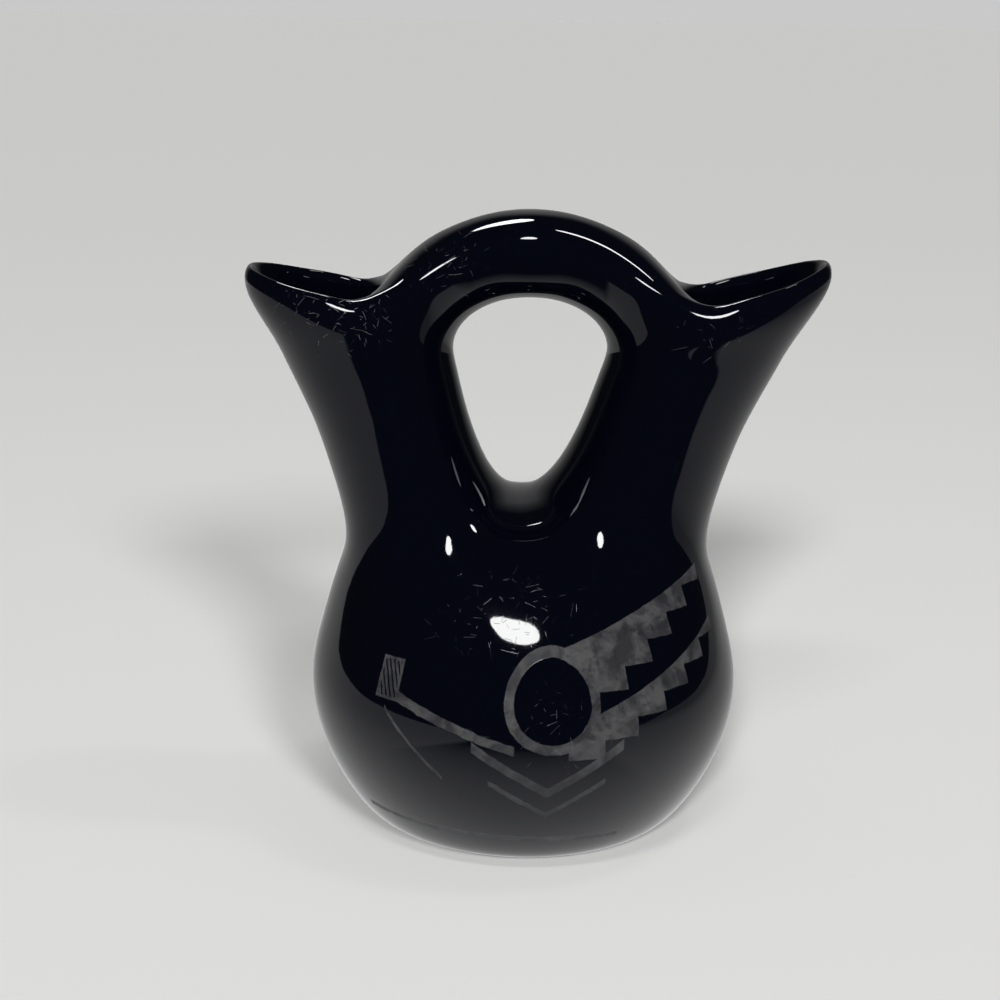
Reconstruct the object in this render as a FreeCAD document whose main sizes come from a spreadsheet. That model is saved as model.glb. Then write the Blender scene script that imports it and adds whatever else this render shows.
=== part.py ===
import FreeCAD, Part

import math
import os

# A wedding vase: a round bulb that parts into two flared spouts, joined at
# their rims by an arched handle. It is slip-cast and fired in one piece, so
# it is one solid with a wall of even thickness and a solid handle.
#
# Millimetres. The origin is the centre of the flat foot, +Z is up, the spouts
# point along -X and +X, and the front is -Y.

SIZES = [
    ("foot_radius", 44.0, "flat ring the vase stands on"),
    ("recess_radius", 36.0, "hollow inside the foot ring"),
    ("recess_depth", 2.5, "how far the hollow is set up into the base"),
    ("bulb_radius", 79.5, "widest radius of the bulb"),
    ("bulb_height", 56.0, "height of the widest part"),
    ("bulb_fullness", 75.0, "half height of the oval under the bulb"),
    ("heel_rise", 2.0, "lift of the rounded edge beside the foot"),
    ("shoulder_rise", 20.0, "from the widest part to the shoulder"),
    ("shoulder_width", 75.8, "half width at the shoulder"),
    ("shoulder_depth", 72.8, "half depth at the shoulder"),
    ("collar_rise", 20.0, "from the shoulder to the collar"),
    ("collar_width", 70.0, "half width at the collar"),
    ("collar_depth", 61.5, "half depth at the collar"),
    ("waist_rise", 17.0, "from the collar to the waist"),
    ("waist_width", 67.2, "half width at the waist"),
    ("waist_depth", 49.0, "half depth at the waist"),
    ("waist_squareness", 2.5, "2 is a plain oval, more is squarer"),
    ("crotch_rise", 13.0, "from the waist to the saddle between the spouts"),
    ("saddle_depth", 41.0, "half depth of the saddle"),
    ("saddle_drop", 7.5, "fall of the saddle to its front and back"),
    ("saddle_shift", 2.4, "how far the saddle sits to the left of the middle"),
    ("saddle_width", 6.4, "half width of the round bottom of the window"),
    ("saddle_lift", 2.8, "rise of that round bottom to its sides"),
    ("window_rise", 53.0, "from the saddle to the window's widest part"),
    ("window_width", 28.0, "half width of the window at its widest"),
    ("window_fullness", 1.1, "1 is a parabola below that, 2 is an oval"),
    ("spout_rise", 20.5, "from there up to the low point of the rims"),
    ("spout_depth", 40.0, "half depth of a spout where it starts"),
    ("mouth_depth", 39.0, "half depth of a spout under its rim"),
    ("spout_squareness", 2.2, "2 is a plain oval, more is squarer"),
    ("spout_foot_width", 73.7, "reach of both spouts above the saddle"),
    ("reach_left", 104.2, "centre to the tip of the left spout"),
    ("reach_right", 108.6, "centre to the tip of the right spout"),
    ("tip_rise_left", 8.4, "left tip above the low point of its rim"),
    ("tip_rise_right", 13.0, "right tip above the low point of its rim"),
    ("mouth_start", 52.0, "centre to the inner end of each mouth"),
    ("dip_reach", 61.5, "centre to the low point of each rim"),
    ("root_rise", 4.1, "inner end of a rim above its low point"),
    ("lip_taper", 0.36, "how far each mouth narrows towards its tip"),
    ("tip_round", 2.5, "from the crest of a tip out to its end"),
    ("bead_drop", 8.5, "height of the rounded edge outside each rim"),
    ("bead_width", 5.5, "from the crest of a rim out to its side"),
    ("lip_inset", 2.2, "from the crest of a rim in to the bore"),
    ("lip_depth", 5.0, "drop of the round inside the crest"),
    ("throat_depth", 14.0, "from the crest down to the full wall inside"),
    ("handle_rise", 29.7, "top of the handle above the rims' low point"),
    ("handle_span", 56.0, "half span of the handle's arch at the rims' low point"),
    ("handle_thickness", 31.4, "height of the handle's section at its top"),
    ("handle_depth", 19.5, "half depth of the handle at its top"),
    ("handle_root_depth", 30.0, "half depth of the handle near its ends"),
    ("handle_squareness", 2.3, "2 is a plain oval, more is squarer"),
    ("wall", 5.0, "wall of the bulb and the spouts"),
    ("saddle_wall", 7.0, "wall under the saddle"),
    ("floor_thickness", 9.0, "floor of the bulb above its foot"),
    ("floor_radius", 30.0, "flat middle of the floor inside"),
]

document = FreeCAD.newDocument("wedding_vase")
sheet = document.addObject("Spreadsheet::Sheet", "sizes")
sheet.Label = "driving dimensions"
for row, (alias, value, meaning) in enumerate(SIZES, start=1):
    sheet.set("A%d" % row, alias)
    sheet.set("B%d" % row, str(value))
    sheet.set("C%d" % row, meaning)
    sheet.setAlias("B%d" % row, alias)
document.recompute()


def size(alias):
    """The value of one driving dimension."""
    return float(sheet.get(alias))


# Rows round the body have 16 points, counted from +X by the back. Rows round
# a spout have 10, from its front-inner side by its tip; both spouts are the
# same form, turned half a turn about Z. Rows round the handle have 8.
COLUMNS = 16
BACK = COLUMNS // 4
FRONT = COLUMNS - BACK
LEG_POINTS = 10
LEG_FRONT = LEG_POINTS - 1
LEG_CENTRE = LEG_FRONT - 1
LEG_BACK = LEG_CENTRE - 1
LEG_TIP = LEG_CENTRE - LEG_POINTS // 2
HANDLE_POINTS = 8
FITTING_ROUNDS = 40
RELAX_ROUNDS = 400
RELAX_STEP = 0.55
RELAX_HOLD = 0.04

# Rows of the round underside, in degrees below the widest part.
UNDERSIDE_ANGLES = (42.0, 31.0, 16.0, 0.0)
HEEL_SHARE = 0.48
# Rows of the spouts, as shares of the window's rise, and how far each one
# leans with the rim above it.
SPOUT_ROWS = ((0.22, 0.0), (0.52, 0.1), (0.82, 0.25), (1.0, 0.55))
FLARE_POWER = 1.2
LEG_SPREAD = 0.09
RIM_POWER = 1.35
SADDLE_SPREAD = 1.2
HANDLE_STATIONS = (0.25, 0.5, 0.75)
HANDLE_TAPER_POWER = 1.5


class Cage:
    """Four-sided faces over points that the smooth surface passes through."""

    def __init__(self):
        self.targets = []
        self.faces = []
        self.mirrored = {}

    def point(self, x, y, z):
        self.targets.append(FreeCAD.Vector(x, y, z))
        return len(self.targets) - 1

    def face(self, *corners):
        self.faces.append(corners)

    def band(self, lower, upper, left_out=()):
        """Faces between two closed rows, seen from the lower row up."""
        for i in range(len(lower)):
            j = (i + 1) % len(lower)
            if i not in left_out:
                self.face(lower[i], lower[j], upper[j], upper[i])

    def hem(self, edge, inner):
        """Points beyond an open edge, which keep its curve in its plane."""
        row = []
        for at_edge, beside in zip(edge, inner):
            index = self.point(*(self.targets[at_edge] * 2 - self.targets[beside]))
            self.mirrored[index] = (at_edge, beside)
            row.append(index)
        return row


def relax(cage, fixed, held):
    """Even out the bends of the skin.

    Fixed points stay, held ones stay near their place, and others go free.
    """
    beside = [set() for _ in cage.targets]
    for face in cage.faces:
        for c in range(4):
            beside[face[c]].update((face[c - 1], face[(c + 1) % 4]))
    free = [v for v in range(len(cage.targets)) if v not in fixed]
    near = sorted(set(free).union(*(beside[v] for v in free)))
    steps = {
        v: RELAX_STEP / (1 + sum(1 / len(beside[k]) ** 2 for k in beside[v])) for v in free
    }
    spots = cage.targets
    drawn = list(spots)
    for _ in range(RELAX_ROUNDS):
        bend = {}
        for v in near:
            total = FreeCAD.Vector()
            for k in beside[v]:
                total = total + spots[k]
            bend[v] = total * (1 / len(beside[v])) - spots[v]
        for v in free:
            pull = bend[v]
            if v in held:
                pull = pull + (drawn[v] - spots[v]) * RELAX_HOLD
            for k in beside[v]:
                pull = pull - bend[k] * (1 / len(beside[k]))
            spots[v] = spots[v] + pull * steps[v]


def valence_mean(valence, corner, beside, across, other):
    """Inner control point of a face next to one of its corners."""
    total = corner * valence + beside * 2 + across + other * 2
    return total * (1.0 / (valence + 5))


class SmoothSkin:
    """Bicubic patches, one to a face, of the surface that a cage defines."""

    def __init__(self, cage):
        self.cage = cage
        self.points = list(cage.targets)
        self.corners_at = [[] for _ in cage.targets]
        self.face_at_edge = {}
        for f, face in enumerate(cage.faces):
            for c in range(4):
                self.corners_at[face[c]].append((f, c))
                self.face_at_edge[face[c], face[(c + 1) % 4]] = (f, c)
        for _ in range(FITTING_ROUNDS):
            self.fit()
        self.find_inner_points()

    def find_inner_points(self):
        self.inner = []
        for face in self.cage.faces:
            corners = [self.points[v] for v in face]
            row = []
            for c in range(4):
                turned = corners[c:] + corners[:c]
                row.append(valence_mean(len(self.corners_at[face[c]]), *turned))
            self.inner.append(row)

    def surface_point(self, vertex):
        total = FreeCAD.Vector()
        for f, c in self.corners_at[vertex]:
            total = total + self.inner[f][c]
        return total * (1.0 / len(self.corners_at[vertex]))

    def fit(self):
        """Move the cage so that its surface nears the wanted points."""
        self.find_inner_points()
        moved = list(self.points)
        for v, target in enumerate(self.cage.targets):
            if v not in self.cage.mirrored:
                moved[v] = self.points[v] + target - self.surface_point(v)
        for v, (edge, beside) in self.cage.mirrored.items():
            moved[v] = moved[edge] * 2 - moved[beside]
        self.points = moved

    def edge_point(self, f, c, step):
        """Control point on the edge from corner c towards corner c + step."""
        face = self.cage.faces[f]
        here, there = face[c], face[(c + step) % 4]
        if step == 1:
            g, k = self.face_at_edge[there, here]
            beyond = self.inner[g][(k + 1) % 4]
        else:
            g, k = self.face_at_edge[here, there]
            beyond = self.inner[g][k]
        return (self.inner[f][c] + beyond) * 0.5

    def patch(self, f):
        face = self.cage.faces[f]
        corner = [self.surface_point(v) for v in face]
        ahead = [self.edge_point(f, c, 1) for c in range(4)]
        behind = [self.edge_point(f, c, -1) for c in range(4)]
        inner = self.inner[f]
        poles = [
            [corner[0], behind[0], ahead[3], corner[3]],
            [ahead[0], inner[0], inner[3], behind[3]],
            [behind[1], inner[1], inner[2], ahead[2]],
            [corner[1], ahead[1], behind[2], corner[2]],
        ]
        surface = Part.BezierSurface()
        surface.increase(3, 3)
        for i in range(4):
            for j in range(4):
                surface.setPole(i + 1, j + 1, poles[i][j])
        return surface.toShape()

    def flat_face(self, row):
        """The flat disc inside an open edge."""
        edges = []
        for i, here in enumerate(row):
            f, c = self.face_at_edge[here, row[(i + 1) % len(row)]]
            curve = Part.BezierCurve()
            curve.setPoles(
                [
                    self.surface_point(here),
                    self.edge_point(f, c, 1),
                    self.edge_point(f, (c + 1) % 4, -1),
                    self.surface_point(self.cage.faces[f][(c + 1) % 4]),
                ]
            )
            edges.append(curve.toShape())
        return Part.Face(Part.Wire(edges))

    def patches(self):
        drawn = []
        for f, face in enumerate(self.cage.faces):
            if not any(v in self.cage.mirrored for v in face):
                drawn.append(self.patch(f))
        return drawn


def mix(a, b, share):
    return a + (b - a) * share


def rounded(angle, squareness):
    """Cosine and sine of an oval that is squarer than an ellipse."""
    power = 2.0 / squareness
    c, s = math.cos(angle), math.sin(angle)
    return math.copysign(abs(c) ** power, c), math.copysign(abs(s) ** power, s)


def leg_angle(i):
    """Angle round a spout from its tip, drawn towards the front and back."""
    even = 2 * math.pi * (i - LEG_TIP) / LEG_POINTS
    return even + LEG_SPREAD * math.sin(2 * even)


SHOULDER_HEIGHT = size("bulb_height") + size("shoulder_rise")
COLLAR_HEIGHT = SHOULDER_HEIGHT + size("collar_rise")
WAIST_HEIGHT = COLLAR_HEIGHT + size("waist_rise")
SADDLE_HEIGHT = WAIST_HEIGHT + size("crotch_rise")
WINDOW_HEIGHT = SADDLE_HEIGHT + size("window_rise")
RIM_HEIGHT = WINDOW_HEIGHT + size("spout_rise")
TOP_HEIGHT = RIM_HEIGHT + size("handle_rise")

cage = Cage()


def body_ring(height, width, depth, squareness=2.0):
    """One level row round the body."""
    row = []
    for k in range(COLUMNS):
        c, s = rounded(2 * math.pi * k / COLUMNS, squareness)
        row.append(cage.point(width * c, depth * s, height))
    return row


def underside_ring(degrees):
    angle = math.radians(degrees)
    radius = size("bulb_radius") * math.cos(angle)
    height = size("bulb_height") - size("bulb_fullness") * math.sin(angle)
    return body_ring(height, radius, radius)


def inset_row(below, row, above, inner_end=None):
    """The inside of a row, one wall in from the skin.

    inner_end moves the side next to the window, so that the wall there
    thickens into the root of the handle.
    """
    skin = cage.targets
    spots = []
    for i, index in enumerate(row):
        along = skin[row[(i + 1) % len(row)]] - skin[row[i - 1]]
        up = skin[above[i]] - skin[below[i]]
        normal = along.cross(up).normalize()
        spots.append(skin[index] - normal * size("wall"))
    if inner_end is not None:
        end = spots[LEG_CENTRE].x
        shift = math.copysign(inner_end, end) - end
        for i, spot in enumerate(spots):
            spot.x += shift * (1 - math.cos(leg_angle(i))) / 2
    return [cage.point(*spot) for spot in spots]


def window_reach(height, side):
    """From the middle to the window's edge below its widest part.

    It is an egg's pointed end that leans with the saddle.
    """
    up = min(1.0, (height - SADDLE_HEIGHT) / size("window_rise"))
    half = size("window_width") * math.sqrt(1 - (1 - up) ** size("window_fullness"))
    return half - side * size("saddle_shift") * (1 - up)


def saddle_strip(middle, side, front_middle, front_side):
    """Points over the saddle: rows of left, middle and right, front to back.

    Each argument is x, y, z on the right, from the middle of the saddle; the
    rest is mirrored.
    """
    rows = []
    shift = size("saddle_shift")
    for centre, flank, back in (
        (front_middle, front_side, False),
        (middle, side, False),
        (front_middle, front_side, True),
    ):
        turn = -1 if back else 1
        rows.append(
            [
                cage.point(-flank[0] - shift, flank[1] * turn, flank[2]),
                cage.point(centre[0] - shift, centre[1] * turn, centre[2]),
                cage.point(flank[0] - shift, flank[1] * turn, flank[2]),
            ]
        )
    return rows


def strip_rows(ring, strip):
    """The strip with the parts of the body row that it joins."""
    front_edge = [ring[FRONT - 1], ring[FRONT], ring[FRONT + 1]]
    back_edge = [ring[BACK + 1], ring[BACK], ring[BACK - 1]]
    return [front_edge] + strip + [back_edge]


def strip_faces(rows, inside=False):
    for lower, upper in zip(rows, rows[1:]):
        for i in range(len(lower) - 1):
            corners = (lower[i], lower[i + 1], upper[i + 1], upper[i])
            cage.face(*(corners[::-1] if inside else corners))


def leg_foot(ring, strip, side):
    """The closed row of ten points that a spout stands on."""
    front, middle, back = strip
    if side > 0:
        outer = ring[FRONT + 1:] + ring[:BACK]
        return outer + [back[2], middle[2], front[2]]
    return ring[BACK + 1:FRONT] + [front[0], middle[0], back[0]]


class Spout:
    """One leg of the window with its mouth; side is 1 on +X and -1 on -X."""

    def __init__(self, side, reach, tip_rise):
        self.side = side
        self.reach = size(reach)
        self.tip_rise = size(tip_rise)
        self.low = SADDLE_HEIGHT + SPOUT_ROWS[0][0] * size("window_rise")
        self.high = RIM_HEIGHT + self.tip_rise - size("bead_drop")
        self.crest_reach = self.reach - size("tip_round")

    def climb(self, height):
        """Share of the way from the saddle up to the rim."""
        return max(0.0, (height - self.low) / (self.high - self.low))

    def outer_reach(self, height):
        flare = self.climb(height) ** FLARE_POWER
        return mix(size("spout_foot_width"), self.reach - size("tip_round") / 2, flare)

    def crest_height(self, x):
        """The rim is lowest at its dip and rises in a curve to its tip."""
        dip = size("dip_reach")
        if x < dip:
            back = (dip - x) / (dip - size("mouth_start"))
            return RIM_HEIGHT + size("root_rise") * back**2
        out = min((x - dip) / (self.crest_reach - dip), 1.0)
        return RIM_HEIGHT + self.tip_rise * out**RIM_POWER

    def row(self, inner, outer, depth, taper, height_at, left_out=()):
        """Ten points round a section from x = inner to x = outer."""
        centre, half = (inner + outer) / 2, (outer - inner) / 2
        indices = []
        for i in range(LEG_POINTS):
            c, s = rounded(leg_angle(i), size("spout_squareness"))
            x = centre + half * c
            y = depth * s * (1 - taper * (1 + c) / 2)
            if i in left_out:
                indices.append(None)
            else:
                spot = (self.side * x, self.side * y, height_at(x, c))
                indices.append(cage.point(*spot))
        return indices

    def outside(self, foot):
        """The skin from the foot row up to the crest of the rim."""
        taper, depths = size("lip_taper"), (size("spout_depth"), size("mouth_depth"))
        rows = [foot]
        for share, lean in SPOUT_ROWS:
            height = SADDLE_HEIGHT + share * size("window_rise")
            lift = lean * self.tip_rise
            climb = self.climb(height)
            rows.append(
                self.row(
                    window_reach(height, self.side),
                    self.outer_reach(height + lift),
                    mix(*depths, climb),
                    taper * climb,
                    lambda x, c: height + lift * (1 + c) / 2,
                )
            )
        side_row = self.row(
            (size("mouth_start") + size("window_width")) / 2,
            self.outer_reach(self.high),
            size("mouth_depth"),
            taper,
            lambda x, c: self.crest_height(x) - size("bead_drop"),
            left_out=(LEG_CENTRE,),
        )
        crest = self.row(
            size("mouth_start"),
            self.crest_reach,
            size("mouth_depth") - size("bead_width"),
            taper,
            lambda x, c: self.crest_height(x),
        )
        for lower, upper in zip(rows, rows[1:]):
            cage.band(lower, upper)
        handle_gap = (LEG_BACK, LEG_CENTRE)
        cage.band(rows[-1], side_row, left_out=handle_gap)
        cage.band(side_row, crest, left_out=handle_gap)
        self.rows, self.side_row, self.crest = rows, side_row, crest

    def inside(self, foot):
        """The bore from the rim down to the row inside the saddle."""
        inset, taper = size("lip_inset"), size("lip_taper")
        lip = self.row(
            size("mouth_start") + inset,
            self.crest_reach - inset,
            size("mouth_depth") - size("bead_width") - inset,
            taper,
            lambda x, c: self.crest_height(x) - size("lip_depth"),
        )
        throat_height = self.high - size("throat_depth") + size("bead_drop")
        throat_start = size("mouth_start") + inset / 2
        throat = self.row(
            throat_start,
            self.outer_reach(throat_height) - size("wall"),
            size("mouth_depth") - size("wall"),
            taper,
            lambda x, c: self.crest_height(x) - size("throat_depth"),
        )
        low, middle, upper, widest = self.rows[1:]
        low_inside = inset_row(self.rows[0], low, middle)
        middle_inside = inset_row(low, middle, upper)
        root = abs(cage.targets[middle_inside[LEG_CENTRE]].x)
        upper_inside = inset_row(middle, upper, widest, (root + throat_start) / 2)
        rows = [self.crest, lip, throat, upper_inside, middle_inside, low_inside, foot]
        for outer, inner in zip(rows, rows[1:]):
            cage.band(outer, inner)

    def handle_root(self):
        """The eight points of the gap, from the top by the front."""
        root = [
            self.crest[LEG_CENTRE],
            self.crest[LEG_FRONT],
            self.side_row[LEG_FRONT],
            self.rows[-1][LEG_FRONT],
            self.rows[-1][LEG_CENTRE],
            self.rows[-1][LEG_BACK],
            self.side_row[LEG_BACK],
            self.crest[LEG_BACK],
        ]
        if self.side > 0:
            return root
        return [root[0]] + root[:0:-1]


def handle_row(share, side):
    """A section of the handle; share is 0 at its root and 1 at its top."""
    rise, half_span = size("handle_rise"), size("handle_span")
    radius = (half_span**2 + rise**2) / (2 * rise)
    swing = math.asin(size("mouth_start") / radius) * (1 - share)
    turn = math.pi / 2 * share
    arch = TOP_HEIGHT - size("handle_thickness") - WINDOW_HEIGHT
    top = FreeCAD.Vector(
        side * radius * math.sin(swing), 0, TOP_HEIGHT - radius * (1 - math.cos(swing))
    )
    under = FreeCAD.Vector(
        side * size("window_width") * math.cos(turn), 0, WINDOW_HEIGHT + arch * math.sin(turn)
    )
    centre, half = (top + under) * 0.5, (top - under) * 0.5
    waist = (1 - share) ** HANDLE_TAPER_POWER
    depth = mix(size("handle_depth"), size("handle_root_depth"), waist)
    indices = []
    for j in range(HANDLE_POINTS):
        c, s = rounded(2 * math.pi * j / HANDLE_POINTS, size("handle_squareness"))
        spot = centre + half * c - FreeCAD.Vector(0, depth * s, 0)
        indices.append(cage.point(*spot))
    return indices


def body_outside():
    underside = [underside_ring(angle) for angle in UNDERSIDE_ANGLES]
    lowest = cage.targets[underside[0][0]].x
    foot = body_ring(0, size("foot_radius"), size("foot_radius"))
    heel_radius = mix(size("foot_radius"), lowest, HEEL_SHARE)
    heel = body_ring(size("heel_rise"), heel_radius, heel_radius)
    shoulder = body_ring(SHOULDER_HEIGHT, size("shoulder_width"), size("shoulder_depth"))
    squareness = size("waist_squareness")
    collar = body_ring(
        COLLAR_HEIGHT, size("collar_width"), size("collar_depth"), (2 + squareness) / 2
    )
    waist = body_ring(WAIST_HEIGHT, size("waist_width"), size("waist_depth"), squareness)
    rows = [foot, heel] + underside + [shoulder, collar, waist]
    cage.band(cage.hem(foot, heel), foot)
    for lower, upper in zip(rows, rows[1:]):
        cage.band(lower, upper)
    return rows


def body_inside(skin_rows):
    """Rows from the inside of the waist down to the flat floor."""
    rows = []
    above = skin_rows[2:] + [skin_rows[-1]]
    for below, row, next_row in zip(skin_rows[1:], skin_rows[2:], above[1:]):
        rows.append(inset_row(below, row, next_row))
    rows.reverse()
    floor_radius = size("floor_radius")
    rows.append(body_ring(size("floor_thickness"), floor_radius, floor_radius))
    for upper, lower in zip(rows, rows[1:]):
        cage.band(upper, lower)
    cage.band(rows[-1], cage.hem(rows[-1], rows[-2]))
    return rows


def outer_saddle():
    side_reach, lift = size("saddle_width"), size("saddle_lift")
    side_height = SADDLE_HEIGHT + lift
    depth, drop = size("saddle_depth"), size("saddle_drop")
    return (
        (0, 0, SADDLE_HEIGHT),
        (side_reach, 0, side_height),
        (0, -depth, SADDLE_HEIGHT - drop),
        (side_reach * SADDLE_SPREAD, -depth, SADDLE_HEIGHT - drop + lift),
    )


def inner_saddle(outer):
    """The ceiling of the bulb, one wall under the saddle."""
    middle, side, front_middle, front_side = outer
    thick, wall = size("saddle_wall"), size("wall")
    return (
        (0, 0, middle[2] - thick),
        (side[0] + wall / 2, 0, side[2] - thick),
        (0, front_middle[1] + wall, front_middle[2] - thick),
        (front_side[0] + wall / 2, front_side[1] + wall, front_side[2] - thick),
    )


skin_rows = body_outside()
saddle = outer_saddle()
outer_strip = saddle_strip(*saddle)
strip_faces(strip_rows(skin_rows[-1], outer_strip))
right = Spout(1, "reach_right", "tip_rise_right")
left = Spout(-1, "reach_left", "tip_rise_left")
for spout in (right, left):
    spout.outside(leg_foot(skin_rows[-1], outer_strip, spout.side))

handle_rows = [right.handle_root()]
handle_rows += [handle_row(share, 1) for share in HANDLE_STATIONS]
handle_rows += [handle_row(1.0, 1)]
handle_rows += [handle_row(share, -1) for share in reversed(HANDLE_STATIONS)]
handle_rows += [left.handle_root()]
for near, far in zip(handle_rows, handle_rows[1:]):
    for j in range(HANDLE_POINTS):
        k = (j + 1) % HANDLE_POINTS
        cage.face(near[j], far[j], far[k], near[k])

outline = set(cage.mirrored)
outline.update(*skin_rows[:-2])
for row in skin_rows[-2:]:
    outline.update((row[0], row[COLUMNS // 2]))
outline.update(outer_strip[1])
for spout in (right, left):
    outline.update(spout.side_row, spout.crest)
    for row in spout.rows[1:]:
        outline.update((row[LEG_TIP], row[LEG_CENTRE]))
for row in handle_rows:
    outline.update((row[0], row[HANDLE_POINTS // 2]))
outline.update(handle_rows[len(handle_rows) // 2])
outline.discard(None)
held = set()
for row in right.rows[1:] + left.rows[1:] + handle_rows:
    held.update(row)
relax(cage, outline, held)

cavity_rows = body_inside(skin_rows)
inner_strip = saddle_strip(*inner_saddle(saddle))
strip_faces(strip_rows(cavity_rows[0], inner_strip), inside=True)
for spout in (right, left):
    spout.inside(leg_foot(cavity_rows[0], inner_strip, spout.side))

skin = SmoothSkin(cage)
faces = skin.patches()
faces.append(skin.flat_face(skin_rows[0]))
faces.append(skin.flat_face(cavity_rows[-1]))
shell = Part.makeShell(faces)
shell.sewShape()
solid = Part.Solid(Part.Shell(shell.Faces))
if solid.Volume < 0:
    solid.reverse()

body = document.addObject("Part::Feature", "cast_body")
body.Label = "body as it leaves the mould"
body.Shape = solid
body.Placement = FreeCAD.Placement()

recess = document.addObject("Part::Cone", "foot_recess")
recess.Label = "hollow under the foot"
recess.setExpression("Radius1", "sizes.recess_radius + sizes.recess_depth")
recess.setExpression("Radius2", "sizes.recess_radius - sizes.recess_depth")
recess.setExpression("Height", "2 * sizes.recess_depth")
recess.setExpression("Placement.Base.z", "-sizes.recess_depth")

vase = document.addObject("Part::Cut", "vase")
vase.Label = "vase"
vase.Base = body
vase.Tool = recess
document.recompute()

for item in document.Objects:
    if {"Invalid", "Error"} & set(item.State):
        raise RuntimeError("%s failed: %s" % (item.Name, item.State))
if vase.Shape.isNull() or not vase.Shape.isValid() or len(vase.Shape.Solids) != 1:
    raise RuntimeError("the vase is not one sound solid")

os.makedirs("parts", exist_ok=True)
vase.Shape.exportStep("parts/%s.step" % vase.Label)
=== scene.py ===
import math

import bpy
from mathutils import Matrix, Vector


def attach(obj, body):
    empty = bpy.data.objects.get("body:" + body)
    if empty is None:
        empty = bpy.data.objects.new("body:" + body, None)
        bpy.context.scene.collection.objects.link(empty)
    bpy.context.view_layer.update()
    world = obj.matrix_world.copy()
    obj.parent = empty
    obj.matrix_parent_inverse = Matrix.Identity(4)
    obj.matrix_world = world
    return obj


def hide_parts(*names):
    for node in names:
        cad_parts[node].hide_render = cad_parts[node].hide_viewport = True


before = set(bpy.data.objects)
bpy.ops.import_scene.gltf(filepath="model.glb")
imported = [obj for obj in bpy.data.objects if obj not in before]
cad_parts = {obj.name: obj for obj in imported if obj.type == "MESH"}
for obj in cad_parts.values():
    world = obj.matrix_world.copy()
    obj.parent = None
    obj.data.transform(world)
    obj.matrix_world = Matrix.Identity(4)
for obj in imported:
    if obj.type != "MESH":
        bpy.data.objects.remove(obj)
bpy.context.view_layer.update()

# Millimetres, as in the CAD model.
SIZES = dict(
    foot_radius=44.0, recess_radius=36.0, recess_depth=2.5, bulb_radius=79.5,
    bulb_height=56.0, bulb_fullness=75.0, heel_rise=2.0, shoulder_rise=20.0,
    shoulder_width=75.8, shoulder_depth=72.8, collar_rise=20.0, collar_width=70.0,
    collar_depth=61.5, waist_rise=17.0, waist_width=67.2, waist_depth=49.0,
    waist_squareness=2.5, crotch_rise=13.0, saddle_depth=41.0, saddle_drop=7.5,
    saddle_shift=2.4, saddle_width=6.4, saddle_lift=2.8, window_rise=53.0,
    window_width=28.0, window_fullness=1.1, spout_rise=20.5, spout_depth=40.0,
    mouth_depth=39.0, spout_squareness=2.2, spout_foot_width=73.7, reach_left=104.2,
    reach_right=108.6, tip_rise_left=8.4, tip_rise_right=13.0, mouth_start=52.0,
    dip_reach=61.5, root_rise=4.1, lip_taper=0.36, tip_round=2.5, bead_drop=8.5,
    bead_width=5.5, lip_inset=2.2, lip_depth=5.0, throat_depth=14.0, handle_rise=29.7,
    handle_span=56.0, handle_thickness=31.4, handle_depth=19.5, handle_root_depth=30.0,
    handle_squareness=2.3, wall=5.0, saddle_wall=7.0, floor_thickness=9.0,
    floor_radius=30.0,
)


def size(name):
    return SIZES[name]


# Rows round the body have 16 points, counted from +X by the back. Rows round
# a spout have 10, from its front-inner side by its tip; both spouts are the
# same form, turned half a turn about Z. Rows round the handle have 8.
COLUMNS = 16
BACK = COLUMNS // 4
FRONT = COLUMNS - BACK
LEG_POINTS = 10
LEG_FRONT = LEG_POINTS - 1
LEG_CENTRE = LEG_FRONT - 1
LEG_BACK = LEG_CENTRE - 1
LEG_TIP = LEG_CENTRE - LEG_POINTS // 2
HANDLE_POINTS = 8
# Rounds of fitting the control points and of evening out the bends, the
# length of a step of those, and the pull of a held point's own place.
FITTING_ROUNDS = 40
RELAX_ROUNDS = 400
RELAX_STEP = 0.55
RELAX_HOLD = 0.04

# Rows of the round underside, in degrees below the widest part.
UNDERSIDE_ANGLES = (42.0, 31.0, 16.0, 0.0)
# Where the heel lies between the foot and the lowest of those rows.
HEEL_SHARE = 0.48
# Rows of the spouts, as shares of the window's rise, and how far each one
# leans with the rim above it.
SPOUT_ROWS = ((0.22, 0.0), (0.52, 0.1), (0.82, 0.25), (1.0, 0.55))
# Powers above 1 make a curve start gently: the flare from the saddle, the rim
# from its dip and the handle's taper from its top. The spreads draw points
# apart: round a spout, by radians, and at the front and back of the saddle.
FLARE_POWER = 1.2
LEG_SPREAD = 0.09
RIM_POWER = 1.35
SADDLE_SPREAD = 1.2
HANDLE_STATIONS = (0.25, 0.5, 0.75)
HANDLE_TAPER_POWER = 1.5


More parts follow.
